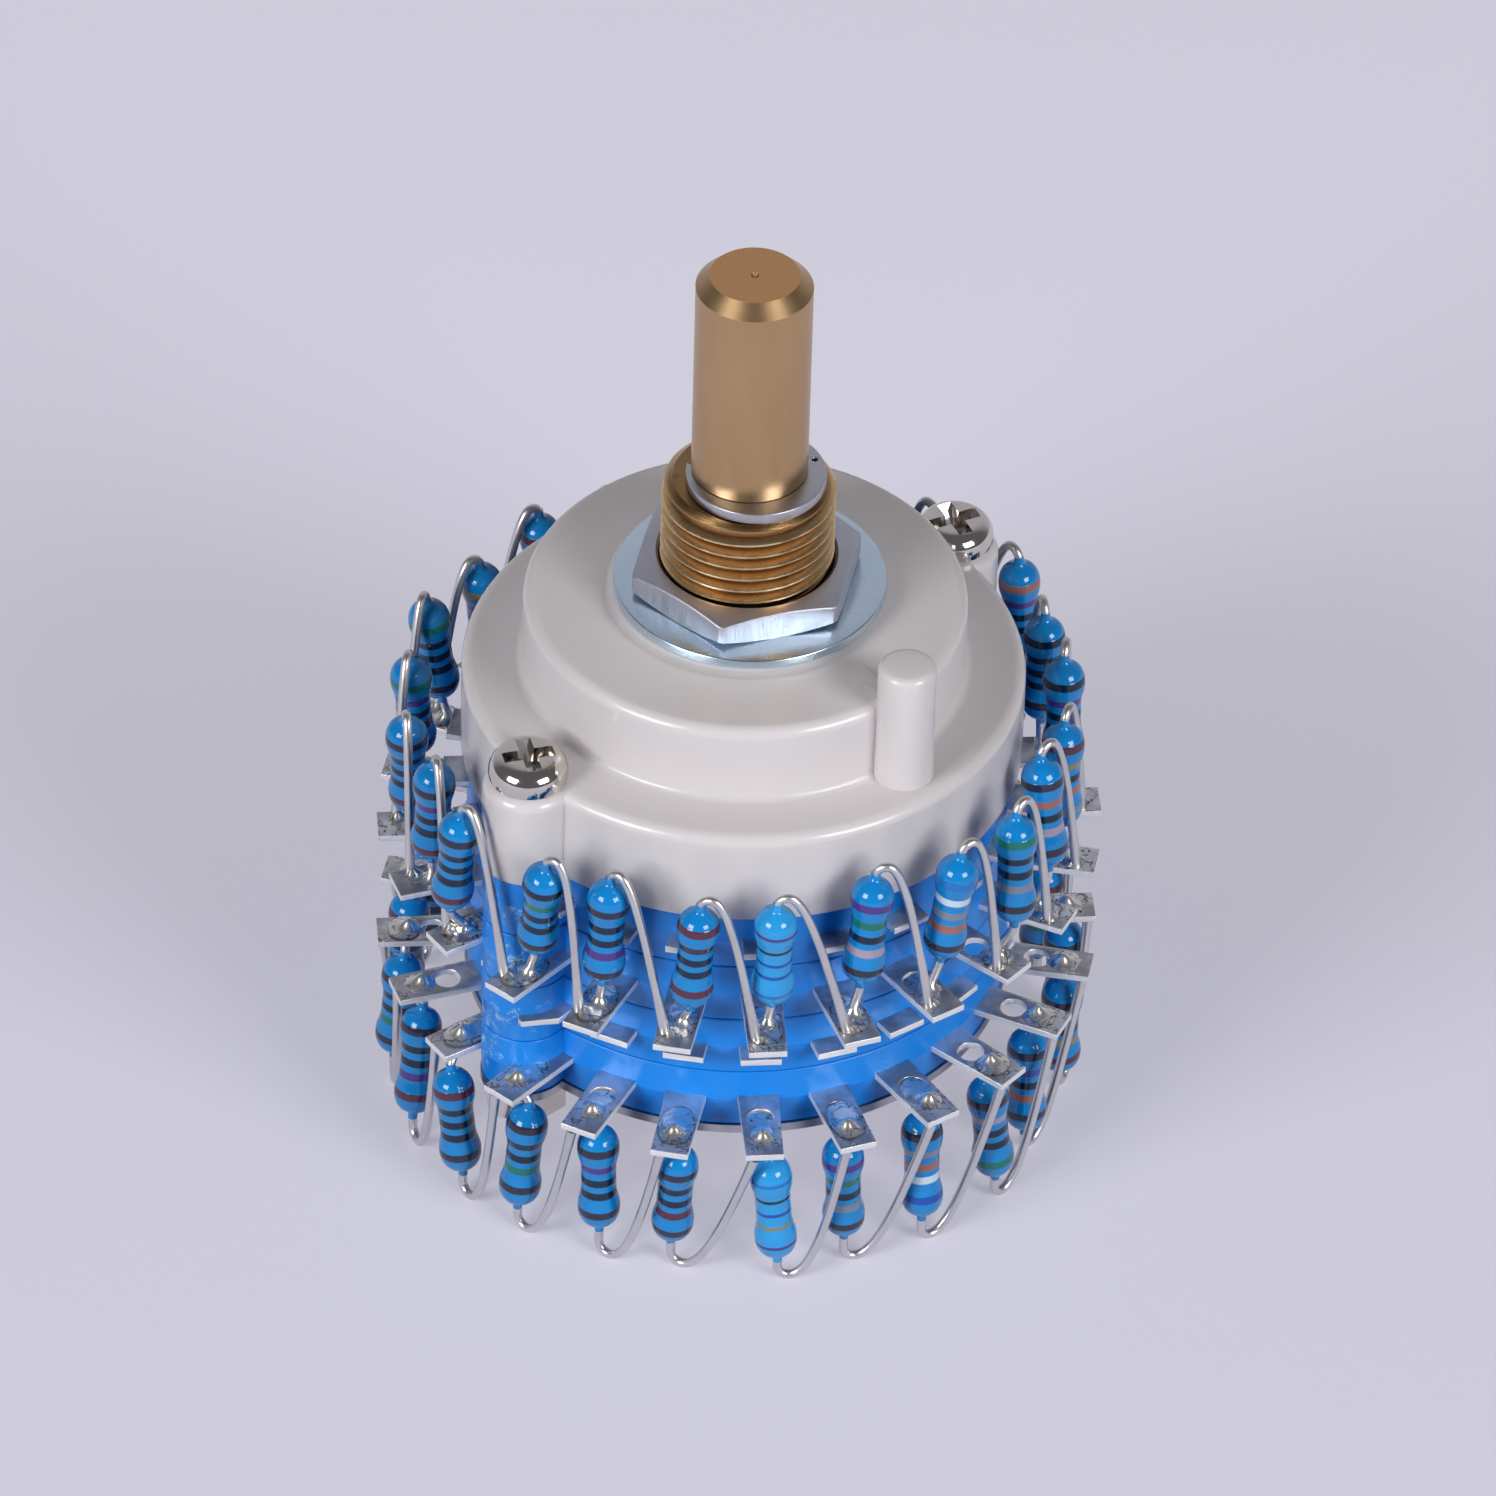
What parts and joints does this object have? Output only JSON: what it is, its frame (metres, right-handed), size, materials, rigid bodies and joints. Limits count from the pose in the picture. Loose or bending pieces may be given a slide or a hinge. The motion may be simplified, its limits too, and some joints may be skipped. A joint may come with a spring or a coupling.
{
  "type": "stepped potentiometer",
  "caption": "Stepped rotary attenuator with a round shaft, threaded bushing, moulded cover, stacked switch wafers and two rings of resistors soldered from lug to lug.",
  "frame": {"origin": "centre of the face that meets the panel, on the shaft's axis", "axes": "+Z along the shaft, out of the front of the panel. +X to the right and -Y towards the viewer of the picture."},
  "size_m": [0.038, 0.038, 0.0522],
  "materials": {
    "housing": "off-white thermoplastic with a soft sheen",
    "bushing": "turned and threaded brass",
    "washer": "zinc plated with a blue passivation",
    "nut": "zinc plated",
    "steel": "plain spring and bearing steel",
    "wafer": "blue moulded thermoplastic",
    "lug": "tinned stamping",
    "contact": "spring bronze and brass, plain",
    "plate": "plain steel sheet",
    "screw": "nickel plated",
    "resistor": "blue enamel with colour bands",
    "lead": "tinned copper wire",
    "solder": "bright solder with flux marks",
    "shaft": "turned brass",
    "index": "dark glass-filled plastic",
    "rotor": "natural plastic"
  },
  "bodies": {
    "frame": {"housing": "housing", "bushing": "bushing", "mounting_washer": "washer", "mounting_nut": "nut", "stop_pin": "steel", "wafer_1": "wafer", "wafer_2": "wafer", "wafer_3": "wafer", "wafer_4": "wafer", "lugs_1": "lug", "lugs_2": "lug", "lugs_3": "lug", "lugs_4": "lug", "collector_1": "contact", "collector_2": "contact", "collector_3": "contact", "collector_4": "contact", "rear_plate": "plate", "through_screws": "screw", "screw_nuts": "screw", "upper_resistors": "resistor", "upper_leads": "lead", "upper_solder": "solder", "lower_resistors": "resistor", "lower_leads": "lead", "lower_solder": "solder"},
    "rotor": {"shaft": "shaft", "retaining_clip": "steel", "index_rotor": "index", "detent_balls": "steel", "detent_springs": "steel", "rotor_1": "rotor", "rotor_2": "rotor", "rotor_3": "rotor", "rotor_4": "rotor", "wiper_1": "contact", "wiper_2": "contact", "wiper_3": "contact", "wiper_4": "contact"}
  },
  "joints": [
    {"name": "shaft_turn", "type": "hinge", "parent": "frame", "child": "rotor", "pos_m": [0, 0, 0], "axis": [0, 0, 1], "range_deg": [-345, 0]}
  ]
}
